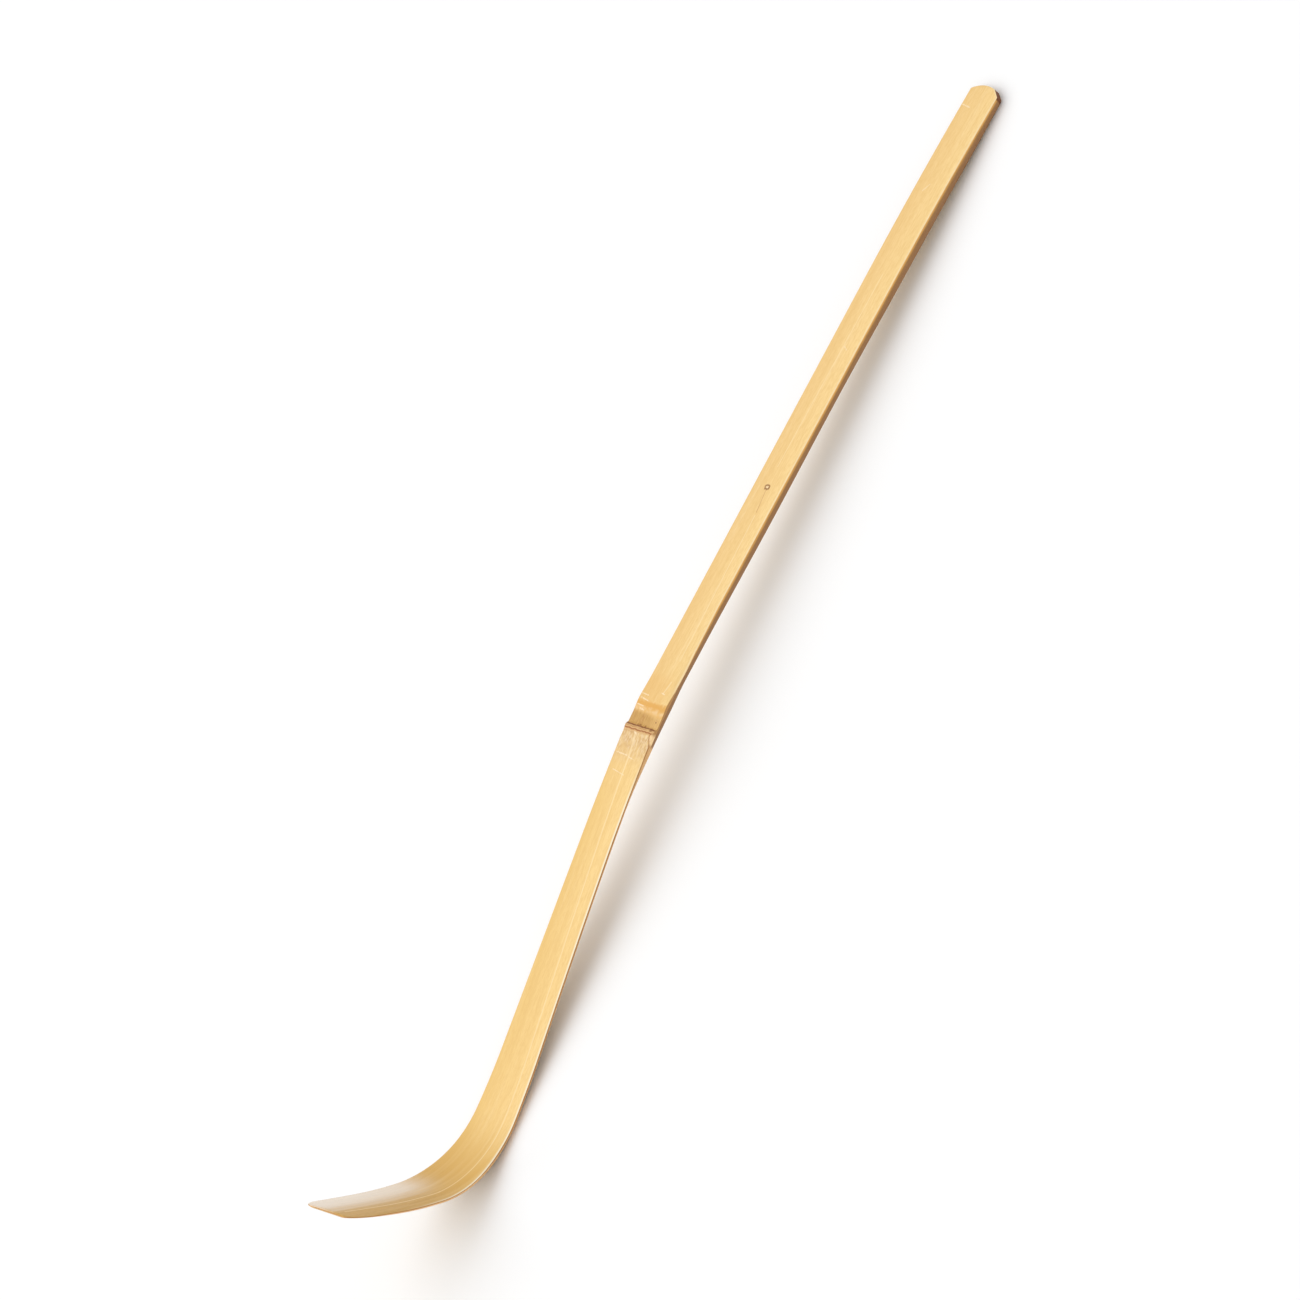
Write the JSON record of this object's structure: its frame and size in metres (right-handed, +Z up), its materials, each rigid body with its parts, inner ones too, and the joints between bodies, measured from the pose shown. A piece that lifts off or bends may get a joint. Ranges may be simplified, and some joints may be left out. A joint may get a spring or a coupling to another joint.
{
  "type": "bamboo tea scoop",
  "caption": "Slim bamboo scoop for powdered tea: whittled straight grip, raised culm node mid-length, bevelled lower shaft and a heat-bent, widened scoop tip.",
  "frame": {"origin": "under the middle of the box around the part, on the surface it lies on", "axes": "+X along the strip towards the grip's end, so the scoop's tip is at -X; +Y across the strip; +Z up, the side of the bamboo's skin and of the scoop's hollow"},
  "size_m": [0.1786, 0.01, 0.0213],
  "materials": {
    "bamboo": "bare whittled bamboo, skin side satin, cut sides and back matt"
  },
  "bodies": {
    "root": {"bamboo_strip": "bamboo"}
  },
  "joints": []
}
